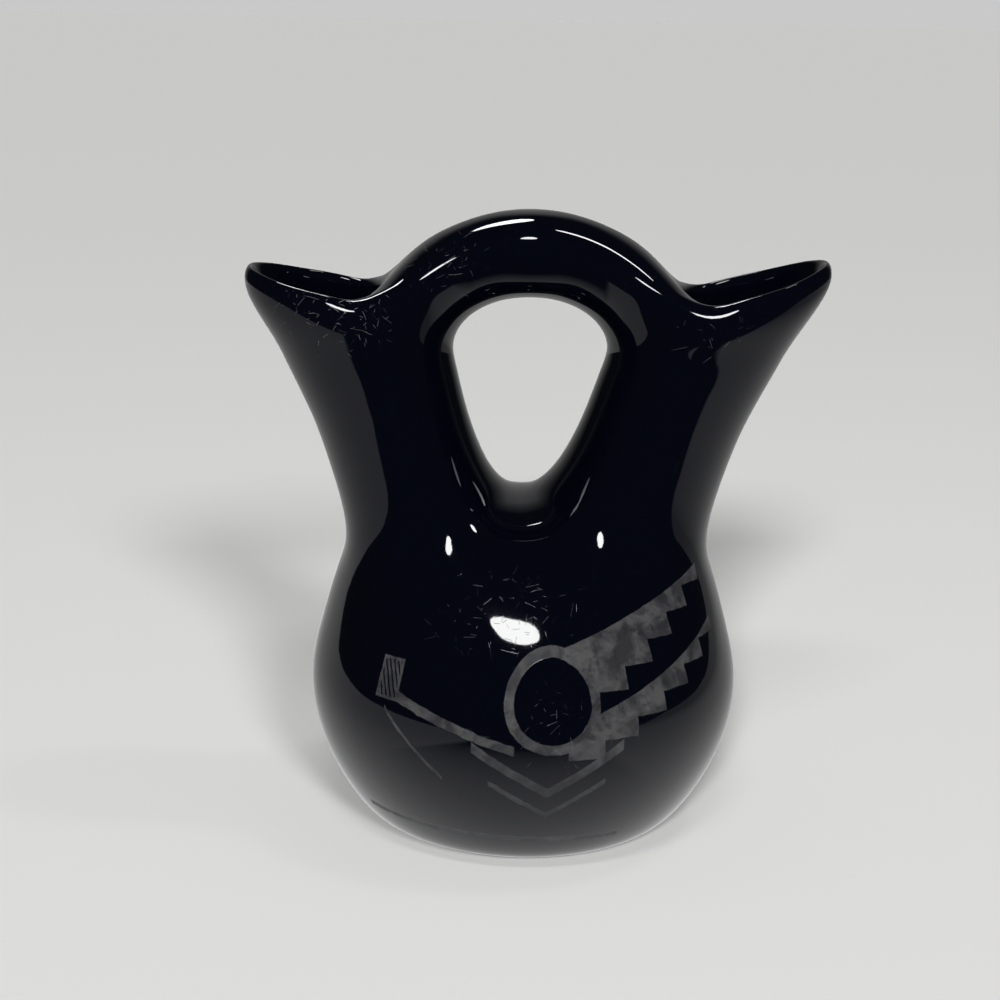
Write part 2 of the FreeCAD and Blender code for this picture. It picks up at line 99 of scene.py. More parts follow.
class Cage:
    """Points that the smooth surface passes through, and faces over them."""

    def __init__(self):
        self.targets = []
        self.faces = []
        self.sharp_rows = []

    def point(self, x, y, z):
        self.targets.append(Vector((x, y, z)))
        return len(self.targets) - 1

    def face(self, *corners):
        self.faces.append(corners)

    def band(self, lower, upper, left_out=()):
        """Faces between two closed rows, seen from the lower row up."""
        for i in range(len(lower)):
            j = (i + 1) % len(lower)
            if i not in left_out:
                self.face(lower[i], lower[j], upper[j], upper[i])

    def sharpen(self, row):
        self.sharp_rows.append(row)

    def fitted(self):
        """Control points whose smooth surface passes through the targets."""
        around = [[] for _ in self.targets]
        for face in self.faces:
            if len(face) == 4:
                for c in range(4):
                    around[face[c]].append([face[(c + k) % 4] for k in range(4)])
        on_edge = {}
        for row in self.sharp_rows:
            for i, index in enumerate(row):
                on_edge[index] = (row[i - 1], row[(i + 1) % len(row)])
        points = [target.copy() for target in self.targets]
        for _ in range(FITTING_ROUNDS):
            moved = []
            for v, target in enumerate(self.targets):
                if v in on_edge:
                    # A crease ends up as a cubic B-spline.
                    before, after = on_edge[v]
                    limit = (points[before] + points[v] * 4 + points[after]) / 6
                else:
                    # The limit of a Catmull-Clark surface where n faces meet.
                    n = len(around[v])
                    limit = Vector()
                    for here, beside, across, other in around[v]:
                        limit += points[here] * n + points[across]
                        limit += (points[beside] + points[other]) * 2
                    limit /= n * (n + 5)
                moved.append(points[v] + target - limit)
            points = moved
        return points


def relax(cage, fixed, held):
    """Even out the bends of the skin.

    Fixed points stay, held ones stay near their place, and others go free.
    """
    beside = [set() for _ in cage.targets]
    for face in cage.faces:
        for c in range(4):
            beside[face[c]].update((face[c - 1], face[(c + 1) % 4]))
    free = [v for v in range(len(cage.targets)) if v not in fixed]
    near = sorted(set(free).union(*(beside[v] for v in free)))
    steps = {
        v: RELAX_STEP / (1 + sum(1 / len(beside[k]) ** 2 for k in beside[v])) for v in free
    }
    spots = cage.targets
    drawn = list(spots)
    for _ in range(RELAX_ROUNDS):
        bend = {}
        for v in near:
            total = Vector()
            for k in beside[v]:
                total = total + spots[k]
            bend[v] = total * (1 / len(beside[v])) - spots[v]
        for v in free:
            pull = bend[v]
            if v in held:
                pull = pull + (drawn[v] - spots[v]) * RELAX_HOLD
            for k in beside[v]:
                pull = pull - bend[k] * (1 / len(beside[k]))
            spots[v] = spots[v] + pull * steps[v]


cage = Cage()


def close_foot(foot):
    """The flat ring the vase stands on and the hollow inside it."""
    radius, depth = size("recess_radius"), size("recess_depth")
    inner = body_ring(0, radius, radius)
    upper = body_ring(depth, radius - depth, radius - depth)
    cage.band(inner, foot)
    cage.band(upper, inner)
    cage.faces.append(tuple(reversed(upper)))
    for row in (foot, inner, upper):
        cage.sharpen(row)


def mix(a, b, share):
    return a + (b - a) * share


def rounded(angle, squareness):
    """Cosine and sine of an oval that is squarer than an ellipse."""
    power = 2.0 / squareness
    c, s = math.cos(angle), math.sin(angle)
    return math.copysign(abs(c) ** power, c), math.copysign(abs(s) ** power, s)


def leg_angle(i):
    """Angle round a spout from its tip, drawn towards the front and back."""
    even = 2 * math.pi * (i - LEG_TIP) / LEG_POINTS
    return even + LEG_SPREAD * math.sin(2 * even)


SHOULDER_HEIGHT = size("bulb_height") + size("shoulder_rise")
COLLAR_HEIGHT = SHOULDER_HEIGHT + size("collar_rise")
WAIST_HEIGHT = COLLAR_HEIGHT + size("waist_rise")
SADDLE_HEIGHT = WAIST_HEIGHT + size("crotch_rise")
WINDOW_HEIGHT = SADDLE_HEIGHT + size("window_rise")
RIM_HEIGHT = WINDOW_HEIGHT + size("spout_rise")
TOP_HEIGHT = RIM_HEIGHT + size("handle_rise")


def body_ring(height, width, depth, squareness=2.0):
    """One level row round the body."""
    row = []
    for k in range(COLUMNS):
        c, s = rounded(2 * math.pi * k / COLUMNS, squareness)
        row.append(cage.point(width * c, depth * s, height))
    return row


def underside_ring(degrees):
    angle = math.radians(degrees)
    radius = size("bulb_radius") * math.cos(angle)
    height = size("bulb_height") - size("bulb_fullness") * math.sin(angle)
    return body_ring(height, radius, radius)


def inset_row(below, row, above, inner_end=None):
    """The inside of a row, one wall in from the skin.

    inner_end moves the side next to the window, so that the wall there
    thickens into the root of the handle.
    """
    skin = cage.targets
    spots = []
    for i, index in enumerate(row):
        along = skin[row[(i + 1) % len(row)]] - skin[row[i - 1]]
        up = skin[above[i]] - skin[below[i]]
        normal = along.cross(up).normalized()
        spots.append(skin[index] - normal * size("wall"))
    if inner_end is not None:
        end = spots[LEG_CENTRE].x
        shift = math.copysign(inner_end, end) - end
        for i, spot in enumerate(spots):
            spot.x += shift * (1 - math.cos(leg_angle(i))) / 2
    return [cage.point(*spot) for spot in spots]


def window_reach(height, side):
    """From the middle to the window's edge below its widest part.

    It is an egg's pointed end that leans with the saddle.
    """
    up = min(1.0, (height - SADDLE_HEIGHT) / size("window_rise"))
    half = size("window_width") * math.sqrt(1 - (1 - up) ** size("window_fullness"))
    return half - side * size("saddle_shift") * (1 - up)


def saddle_strip(middle, side, front_middle, front_side):
    """Points over the saddle: rows of left, middle and right, front to back.

    Each argument is x, y, z on the right, from the middle of the saddle; the
    rest is mirrored.
    """
    rows = []
    shift = size("saddle_shift")
    for centre, flank, back in (
        (front_middle, front_side, False),
        (middle, side, False),
        (front_middle, front_side, True),
    ):
        turn = -1 if back else 1
        rows.append(
            [
                cage.point(-flank[0] - shift, flank[1] * turn, flank[2]),
                cage.point(centre[0] - shift, centre[1] * turn, centre[2]),
                cage.point(flank[0] - shift, flank[1] * turn, flank[2]),
            ]
        )
    return rows


def strip_rows(ring, strip):
    """The strip with the parts of the body row that it joins."""
    front_edge = [ring[FRONT - 1], ring[FRONT], ring[FRONT + 1]]
    back_edge = [ring[BACK + 1], ring[BACK], ring[BACK - 1]]
    return [front_edge] + strip + [back_edge]


def strip_faces(rows, inside=False):
    for lower, upper in zip(rows, rows[1:]):
        for i in range(len(lower) - 1):
            corners = (lower[i], lower[i + 1], upper[i + 1], upper[i])
            cage.face(*(corners[::-1] if inside else corners))


def leg_foot(ring, strip, side):
    """The closed row of ten points that a spout stands on."""
    front, middle, back = strip
    if side > 0:
        outer = ring[FRONT + 1:] + ring[:BACK]
        return outer + [back[2], middle[2], front[2]]
    return ring[BACK + 1:FRONT] + [front[0], middle[0], back[0]]


class Spout:
    """One leg of the window with its mouth; side is 1 on +X and -1 on -X."""

    def __init__(self, side, reach, tip_rise):
        self.side = side
        self.reach = size(reach)
        self.tip_rise = size(tip_rise)
        self.low = SADDLE_HEIGHT + SPOUT_ROWS[0][0] * size("window_rise")
        self.high = RIM_HEIGHT + self.tip_rise - size("bead_drop")
        self.crest_reach = self.reach - size("tip_round")

    def climb(self, height):
        """Share of the way from the saddle up to the rim."""
        return max(0.0, (height - self.low) / (self.high - self.low))

    def outer_reach(self, height):
        flare = self.climb(height) ** FLARE_POWER
        return mix(size("spout_foot_width"), self.reach - size("tip_round") / 2, flare)

    def crest_height(self, x):
        """The rim is lowest at its dip and rises in a curve to its tip."""
        dip = size("dip_reach")
        if x < dip:
            back = (dip - x) / (dip - size("mouth_start"))
            return RIM_HEIGHT + size("root_rise") * back**2
        out = min((x - dip) / (self.crest_reach - dip), 1.0)
        return RIM_HEIGHT + self.tip_rise * out**RIM_POWER

    def row(self, inner, outer, depth, taper, height_at, left_out=()):
        """Ten points round a section from x = inner to x = outer."""
        centre, half = (inner + outer) / 2, (outer - inner) / 2
        indices = []
        for i in range(LEG_POINTS):
            c, s = rounded(leg_angle(i), size("spout_squareness"))
            x = centre + half * c
            y = depth * s * (1 - taper * (1 + c) / 2)
            if i in left_out:
                indices.append(None)
            else:
                spot = (self.side * x, self.side * y, height_at(x, c))
                indices.append(cage.point(*spot))
        return indices

    def outside(self, foot):
        """The skin from the foot row up to the crest of the rim."""
        taper, depths = size("lip_taper"), (size("spout_depth"), size("mouth_depth"))
        rows = [foot]
        for share, lean in SPOUT_ROWS:
            height = SADDLE_HEIGHT + share * size("window_rise")
            lift = lean * self.tip_rise
            climb = self.climb(height)
            rows.append(
                self.row(
                    window_reach(height, self.side),
                    self.outer_reach(height + lift),
                    mix(*depths, climb),
                    taper * climb,
                    lambda x, c: height + lift * (1 + c) / 2,
                )
            )
        side_row = self.row(
            (size("mouth_start") + size("window_width")) / 2,
            self.outer_reach(self.high),
            size("mouth_depth"),
            taper,
            lambda x, c: self.crest_height(x) - size("bead_drop"),
            left_out=(LEG_CENTRE,),
        )
        crest = self.row(
            size("mouth_start"),
            self.crest_reach,
            size("mouth_depth") - size("bead_width"),
            taper,
            lambda x, c: self.crest_height(x),
        )
        for lower, upper in zip(rows, rows[1:]):
            cage.band(lower, upper)
        handle_gap = (LEG_BACK, LEG_CENTRE)
        cage.band(rows[-1], side_row, left_out=handle_gap)
        cage.band(side_row, crest, left_out=handle_gap)
        self.rows, self.side_row, self.crest = rows, side_row, crest

    def inside(self, foot):
        """The bore from the rim down to the row inside the saddle."""
        inset, taper = size("lip_inset"), size("lip_taper")
        lip = self.row(
            size("mouth_start") + inset,
            self.crest_reach - inset,
            size("mouth_depth") - size("bead_width") - inset,
            taper,
            lambda x, c: self.crest_height(x) - size("lip_depth"),
        )
        throat_height = self.high - size("throat_depth") + size("bead_drop")
        throat_start = size("mouth_start") + inset / 2
        throat = self.row(
            throat_start,
            self.outer_reach(throat_height) - size("wall"),
            size("mouth_depth") - size("wall"),
            taper,
            lambda x, c: self.crest_height(x) - size("throat_depth"),
        )
        low, middle, upper, widest = self.rows[1:]
        low_inside = inset_row(self.rows[0], low, middle)
        middle_inside = inset_row(low, middle, upper)
        root = abs(cage.targets[middle_inside[LEG_CENTRE]].x)
        upper_inside = inset_row(middle, upper, widest, (root + throat_start) / 2)
        rows = [self.crest, lip, throat, upper_inside, middle_inside, low_inside, foot]
        for outer, inner in zip(rows, rows[1:]):
            cage.band(outer, inner)

    def handle_root(self):
        """The eight points of the gap, from the top by the front."""
        root = [
            self.crest[LEG_CENTRE],
            self.crest[LEG_FRONT],
            self.side_row[LEG_FRONT],
            self.rows[-1][LEG_FRONT],
            self.rows[-1][LEG_CENTRE],
            self.rows[-1][LEG_BACK],
            self.side_row[LEG_BACK],
            self.crest[LEG_BACK],
        ]
        if self.side > 0:
            return root
        return [root[0]] + root[:0:-1]


def handle_row(share, side):
    """A section of the handle; share is 0 at its root and 1 at its top."""
    rise, half_span = size("handle_rise"), size("handle_span")
    radius = (half_span**2 + rise**2) / (2 * rise)
    swing = math.asin(size("mouth_start") / radius) * (1 - share)
    turn = math.pi / 2 * share
    arch = TOP_HEIGHT - size("handle_thickness") - WINDOW_HEIGHT
    top = Vector((
        side * radius * math.sin(swing), 0, TOP_HEIGHT - radius * (1 - math.cos(swing))
    ))
    under = Vector((
        side * size("window_width") * math.cos(turn), 0, WINDOW_HEIGHT + arch * math.sin(turn)
    ))
    centre, half = (top + under) * 0.5, (top - under) * 0.5
    waist = (1 - share) ** HANDLE_TAPER_POWER
    depth = mix(size("handle_depth"), size("handle_root_depth"), waist)
    indices = []
    for j in range(HANDLE_POINTS):
        c, s = rounded(2 * math.pi * j / HANDLE_POINTS, size("handle_squareness"))
        spot = centre + half * c - Vector((0, depth * s, 0))
        indices.append(cage.point(*spot))
    return indices


def body_outside():
    underside = [underside_ring(angle) for angle in UNDERSIDE_ANGLES]
    lowest = cage.targets[underside[0][0]].x
    foot = body_ring(0, size("foot_radius"), size("foot_radius"))
    heel_radius = mix(size("foot_radius"), lowest, HEEL_SHARE)
    heel = body_ring(size("heel_rise"), heel_radius, heel_radius)
    shoulder = body_ring(SHOULDER_HEIGHT, size("shoulder_width"), size("shoulder_depth"))
    squareness = size("waist_squareness")
    collar = body_ring(
        COLLAR_HEIGHT, size("collar_width"), size("collar_depth"), (2 + squareness) / 2
    )
    waist = body_ring(WAIST_HEIGHT, size("waist_width"), size("waist_depth"), squareness)
    rows = [foot, heel] + underside + [shoulder, collar, waist]
    close_foot(foot)
    for lower, upper in zip(rows, rows[1:]):
        cage.band(lower, upper)
    return rows


def body_inside(skin_rows):
    """Rows from the inside of the waist down to the flat floor."""
    rows = []
    above = skin_rows[2:] + [skin_rows[-1]]
    for below, row, next_row in zip(skin_rows[1:], skin_rows[2:], above[1:]):
        rows.append(inset_row(below, row, next_row))
    rows.reverse()
    floor_radius = size("floor_radius")
    rows.append(body_ring(size("floor_thickness"), floor_radius, floor_radius))
    for upper, lower in zip(rows, rows[1:]):
        cage.band(upper, lower)
    cage.sharpen(rows[-1])
    cage.faces.append(tuple(rows[-1]))
    return rows


def outer_saddle():
    side_reach, lift = size("saddle_width"), size("saddle_lift")
    side_height = SADDLE_HEIGHT + lift
    depth, drop = size("saddle_depth"), size("saddle_drop")
    return (
        (0, 0, SADDLE_HEIGHT),
        (side_reach, 0, side_height),
        (0, -depth, SADDLE_HEIGHT - drop),
        (side_reach * SADDLE_SPREAD, -depth, SADDLE_HEIGHT - drop + lift),
    )


def inner_saddle(outer):
    """The ceiling of the bulb, one wall under the saddle."""
    middle, side, front_middle, front_side = outer
    thick, wall = size("saddle_wall"), size("wall")
    return (
        (0, 0, middle[2] - thick),
        (side[0] + wall / 2, 0, side[2] - thick),
        (0, front_middle[1] + wall, front_middle[2] - thick),
        (front_side[0] + wall / 2, front_side[1] + wall, front_side[2] - thick),
    )


skin_rows = body_outside()
saddle = outer_saddle()
outer_strip = saddle_strip(*saddle)
strip_faces(strip_rows(skin_rows[-1], outer_strip))
right = Spout(1, "reach_right", "tip_rise_right")
left = Spout(-1, "reach_left", "tip_rise_left")
for spout in (right, left):
    spout.outside(leg_foot(skin_rows[-1], outer_strip, spout.side))

handle_rows = [right.handle_root()]
handle_rows += [handle_row(share, 1) for share in HANDLE_STATIONS]
handle_rows += [handle_row(1.0, 1)]
handle_rows += [handle_row(share, -1) for share in reversed(HANDLE_STATIONS)]
handle_rows += [left.handle_root()]
for near, far in zip(handle_rows, handle_rows[1:]):
    for j in range(HANDLE_POINTS):
        k = (j + 1) % HANDLE_POINTS
        cage.face(near[j], far[j], far[k], near[k])

outline = set().union(*cage.sharp_rows, *skin_rows[:-2])
for row in skin_rows[-2:]:
    outline.update((row[0], row[COLUMNS // 2]))
outline.update(outer_strip[1])
for spout in (right, left):
    outline.update(spout.side_row, spout.crest)
    for row in spout.rows[1:]:
        outline.update((row[LEG_TIP], row[LEG_CENTRE]))
for row in handle_rows:
    outline.update((row[0], row[HANDLE_POINTS // 2]))
outline.update(handle_rows[len(handle_rows) // 2])
outline.discard(None)
held = set()
for row in right.rows[1:] + left.rows[1:] + handle_rows:
    held.update(row)
relax(cage, outline, held)

cavity_rows = body_inside(skin_rows)
inner_strip = saddle_strip(*inner_saddle(saddle))
strip_faces(strip_rows(cavity_rows[0], inner_strip), inside=True)
for spout in (right, left):
    spout.inside(leg_foot(cavity_rows[0], inner_strip, spout.side))


# The cage's sizes and the glaze's places are in millimetres.
PER_METRE = 1000.0
# How many times the faces of the cage are divided.
SMOOTH_LEVELS = 3


def vase_object():
    """The cage made smooth, with full creases along its sharp rows."""
    mesh = bpy.data.meshes.new("vase_body")
    mesh.from_pydata([point / PER_METRE for point in cage.fitted()], [], cage.faces)
    creased = {
        frozenset((row[i - 1], row[i])) for row in cage.sharp_rows for i in range(len(row))
    }
    crease = mesh.attributes.new("crease_edge", "FLOAT", "EDGE")
    for edge in mesh.edges:
        if frozenset(edge.vertices) in creased:
            crease.data[edge.index].value = 1.0
    for face in mesh.polygons:
        face.use_smooth = True
    item = bpy.data.objects.new("vase_body", mesh)
    bpy.context.collection.objects.link(item)
    smooth = item.modifiers.new("smooth", "SUBSURF")
    smooth.levels = smooth.render_levels = SMOOTH_LEVELS
    depsgraph = bpy.context.evaluated_depsgraph_get()
    item.data = bpy.data.meshes.new_from_object(item.evaluated_get(depsgraph))
    item.modifiers.clear()
    return item


class Signal:
    """A number or vector that a material works out at each point."""

    def __init__(self, socket):
        self.socket = socket
        self.tree = socket.id_data

    def __add__(self, other):
        return operate("ADD", self, other)

    def __sub__(self, other):
        return operate("SUBTRACT", self, other)

    def __rsub__(self, other):
        return operate("SUBTRACT", other, self)

    def __mul__(self, other):
        return operate("MULTIPLY", self, other)

    def __truediv__(self, other):
        return operate("DIVIDE", self, other)

    __radd__, __rmul__ = __add__, __mul__


def feed(socket, value):
    if isinstance(value, Signal):
        value.tree.links.new(value.socket, socket)
    else:
        socket.default_value = value


def operate(operation, *values, clamp=False):
    tree = next(value.tree for value in values if isinstance(value, Signal))
    node = tree.nodes.new("ShaderNodeMath")
    node.operation = operation
    node.use_clamp = clamp
    for socket, value in zip(node.inputs, values):
        feed(socket, value)
    return Signal(node.outputs[0])


def least(*values):
    total = values[0]
    for value in values[1:]:
        total = operate("MINIMUM", total, value)
    return total


def most(*values):
    total = values[0]
    for value in values[1:]:
        total = operate("MAXIMUM", total, value)
    return total


def size_of(value):
    return operate("ABSOLUTE", value)


def ramp(value, start, end):
    """0 below start and 1 above end."""
    return operate("DIVIDE", value - start, end - start, clamp=True)


def join(x, y, z):
    tree = next(value.tree for value in (x, y, z) if isinstance(value, Signal))
    node = tree.nodes.new("ShaderNodeCombineXYZ")
    for socket, value in zip(node.inputs, (x, y, z)):
        feed(socket, value)
    return Signal(node.outputs[0])


def split(vector):
    parts = vector.tree.nodes.new("ShaderNodeSeparateXYZ")
    feed(parts.inputs[0], vector)
    return [Signal(output) for output in parts.outputs]


def noise(place, scale, detail=2.0, roughness=0.5, distortion=0.0):
    node = place.tree.nodes.new("ShaderNodeTexNoise")
    feed(node.inputs["Vector"], place)
    feed(node.inputs["Scale"], scale)
    feed(node.inputs["Detail"], detail)
    feed(node.inputs["Roughness"], roughness)
    feed(node.inputs["Distortion"], distortion)
    return Signal(node.outputs["Fac"])


def scatter(place):
    """Points lie scattered over the XY plane, one to a unit square.

    Returns the way here from the nearest one, and its three random numbers.
    """
    node = place.tree.nodes.new("ShaderNodeTexVoronoi")
    node.voronoi_dimensions = "2D"
    feed(node.inputs["Vector"], place)
    feed(node.inputs["Scale"], 1.0)
    way = place.tree.nodes.new("ShaderNodeVectorMath")
    way.operation = "SUBTRACT"
    feed(way.inputs[0], place)
    feed(way.inputs[1], Signal(node.outputs["Position"]))
    return split(Signal(way.outputs[0])), split(Signal(node.outputs["Color"]))


# The Mix node has sockets for numbers and vectors too; these are its colours.
MIX_FIRST, MIX_SECOND, MIX_RESULT = 6, 7, 2


def blend(share, first, second):
    """Two colours, mixed."""
    node = share.tree.nodes.new("ShaderNodeMix")
    node.data_type = "RGBA"
    feed(node.inputs[0], share)
    for socket, colour in ((MIX_FIRST, first), (MIX_SECOND, second)):
        feed(node.inputs[socket], colour if isinstance(colour, Signal) else (*colour, 1))
    return Signal(node.outputs[MIX_RESULT])


def bump(height, distance, below=None):
    """Relief of that distance in metres, over another one if there is one."""
    node = height.tree.nodes.new("ShaderNodeBump")
    feed(node.inputs["Height"], height)
    feed(node.inputs["Distance"], distance)
    if below is not None:
        feed(node.inputs["Normal"], below)
    return Signal(node.outputs["Normal"])


def new_tree(material):
    material.use_nodes = True
    tree = material.node_tree
    tree.nodes.clear()
    return tree


def finish_tree(tree, shader):
    output = tree.nodes.new("ShaderNodeOutputMaterial")
    tree.links.new(shader.outputs[0], output.inputs[0])


# The matte decoration lies on the front of the bulb. Millimetres round the
# bulb from its front, and up from the table.
RING_ROUND, RING_UP, RING_OUTER, RING_INNER = 9.5, 69.5, 17.6, 14.0
# start, end, width and rise of a step, first tread, top edge and its slope
STEPPED_BANDS = (
    (13.0, 97.0, 13.0, 7.2, 64.8, 85.5, 0.27),
    (15.0, 97.0, 13.0, 6.5, 49.6, 61.5, 0.33),
)
# centre, point, slope and half width of a stroke, and its reach either way
CHEVRONS = (
    (8.0, 37.0, 0.62, 1.9, 27.0),
    (8.0, 27.5, 0.62, 1.1, 21.0),
)
# from, to, height at from, slope and half width
STROKES = (
    (-50.0, -4.0, 67.0, -0.3, 1.7),
    (-74.0, 42.0, 18.0, -0.03, 1.1),
    (-54.0, -30.0, 62.0, -0.9, 0.7),
)
TAB_ROUND, TAB_UP, TAB_HALF_WIDTH, TAB_HALF_HEIGHT, TAB_BORDER = -54.0, 72.0, 5.0, 7.0, 1.0
# The polished lines across the tab: from one to the next, half the width of
# one, and how far it leans for each millimetre up.
HATCH_PITCH, HATCH_HALF_WIDTH, HATCH_LEAN = 2.0, 0.35, 0.5


def decoration(along, up):
    """How far inside the matte fields a point lies."""
    across, above = along - RING_ROUND, up - RING_UP
    radius = operate("SQRT", across * across + above * above)
    fields = [least(RING_OUTER - radius, radius - RING_INNER)]
    for start, end, run, rise, tread, top, slope in STEPPED_BANDS:
        stairs = operate("FLOOR", (along - start) / run) * rise + tread
        inside = least(along - start, end - along, radius - RING_INNER)
        fields.append(least(inside, (along - start) * slope + top - up, up - stairs))
    for centre, point, slope, half, reach in CHEVRONS:
        out = size_of(along - centre)
        fields.append(least(half - size_of(up - point - out * slope), reach - out))
    for start, end, height, slope, half in STROKES:
        line = (along - start) * slope + height
        fields.append(least(half - size_of(up - line), along - start, end - along))
    tab = least(
        TAB_HALF_WIDTH - size_of(along - TAB_ROUND), TAB_HALF_HEIGHT - size_of(up - TAB_UP)
    )
    stripe = operate("FRACT", (along + up * HATCH_LEAN) / HATCH_PITCH)
    hatch = size_of(stripe - 0.5) * HATCH_PITCH - HATCH_HALF_WIDTH
    fields.append(least(tab, most(hatch, TAB_BORDER - tab)))
    return most(*fields)


# Where handling has scratched the glaze: centre, reach in x, y and z, and the
# share of the possible scratches that are there in its middle.
WORN_PLACES = (
    ((-8.0, -62.0, 96.0), (34.0, 28.0, 18.0), 0.3),
    ((-70.0, -33.0, 195.0), (30.0, 22.0, 18.0), 0.6),
    ((-34.0, -14.0, 212.0), (24.0, 14.0, 16.0), 0.35),
    ((12.0, -78.0, 60.0), (22.0, 14.0, 18.0), 0.35),
    ((62.0, -36.0, 190.0), (22.0, 14.0, 14.0), 0.3),
)
WORN_ALL_OVER = 0.03
# Each layer's spacing and half width, and a shift that sets it apart.
SCRATCH_LAYERS = (
    (3.0, 0.035, 0.0),
    (4.4, 0.040, 31.4),
    (6.5, 0.050, 57.7),
    (6.9, 0.035, 17.3),
    (9.5, 0.045, 83.1),
)
# The longest reach either way, the fading end and the bend, in spacings.
SCRATCH_REACH, SCRATCH_END, SCRATCH_BEND = 0.35, 0.08, 0.5
# How far wear goes from a scratch's first trace to its full depth, and how
# much a step back counts as a step up in the layers.
SCRATCH_WEAR, BACK_AS_UP = 0.6, 0.6


def worn(x, y, z):
    """The share of the possible scratches that are there."""
    shares = []
    for (cx, cy, cz), (rx, ry, rz), share in WORN_PLACES:
        dx, dy, dz = (x - cx) / rx, (y - cy) / ry, (z - cz) / rz
        shares.append(ramp(1.0 - (dx * dx + dy * dy + dz * dz), 0.0, 1.0) * share)
    return most(*shares) + WORN_ALL_OVER


def scratches(x, y, z):
    """Short, slightly bent lines that lie every way."""
    wear = worn(x, y, z)
    lines = []
    for spacing, half_width, shift in SCRATCH_LAYERS:
        up = z + y * BACK_AS_UP
        (across, rise, _), (turn, length, depth) = scatter(
            join(x / spacing + shift, up / spacing + shift, 0.0)
        )
        angle = turn * math.tau
        c, s = operate("COSINE", angle), operate("SINE", angle)
        run = across * c + rise * s
        bend = run * run * (length - 0.5) * SCRATCH_BEND
        off = size_of(rise * c - across * s + bend) * spacing
        reach = length * SCRATCH_REACH
        line = 1.0 - ramp(off, half_width, half_width * 2)
        line = line * (1.0 - ramp(size_of(run), reach, reach + SCRATCH_END))
        lines.append(line * ramp(wear - depth, 0.0, SCRATCH_WEAR))
    return most(*lines)


GLAZE_COLOUR, GLAZE_IOR = (0.0006, 0.0009, 0.0026), 1.52
SCRATCH_COLOUR = (0.12, 0.12, 0.125)
# The matte fields where they are thin and thick, and where they are lost or made darker
# towards the foot.
THIN_COLOUR, THICK_COLOUR = (0.016, 0.016, 0.018), (0.044, 0.044, 0.045)
RUBBED_OR_DARKER_COLOUR = (0.008, 0.009, 0.012)
CLAY_COLOUR = (0.06, 0.055, 0.05)
# Roughness, and what the grain adds at most; rubbing takes as much from the
# matte fields.
GLAZE_ROUGHNESS, GLAZE_GRAIN = 0.028, 0.014
MATTE_ROUGHNESS, MATTE_GRAIN = 0.40, 0.16
SCRATCH_ROUGHNESS, CLAY_ROUGHNESS = 0.3, 0.8
# Noises: repeats in a millimetre, detail, roughness and distortion.
WOBBLE_NOISE = (0.25, 3.0)
GRAIN_NOISE = (0.5, 6.0, 0.65)
THICKNESS_NOISE = (0.11, 5.0, 0.6, 0.6)
RUBBED_NOISE = (0.3, 6.0, 0.7, 0.8)
WAVE_NOISE = (0.035, 2.0, 0.4)
PEEL_NOISE = (0.45, 2.0)
# The stretch of a noise over which what it stands for sets in.
THICKNESS_RANGE, RUBBED_RANGE = (0.42, 0.6), (0.5, 0.64)
# How far the decoration's lines wobble, and the width of its soft edge.
WOBBLE_ALONG, WOBBLE_UP, EDGE_WIDTH = 1.1, 0.9, 0.3
# The share of the matte colour that is lost where it is rubbed, and the share by which the
# matte fields are made darker towards the foot, with the heights between which that darkening
# ends.
RUBBED_SHARE, LOW_DARKENING_SHARE, LOW_DARKENING_HEIGHTS = 0.6, 0.65, (34.0, 62.0)
# The heights between which the bare clay of the foot ends.
CLAY_HEIGHTS = (0.3, 0.9)
# Metres of relief.
WAVE_RELIEF, PEEL_RELIEF, ETCHED_RELIEF = 0.00022, 0.0000035, 0.00003


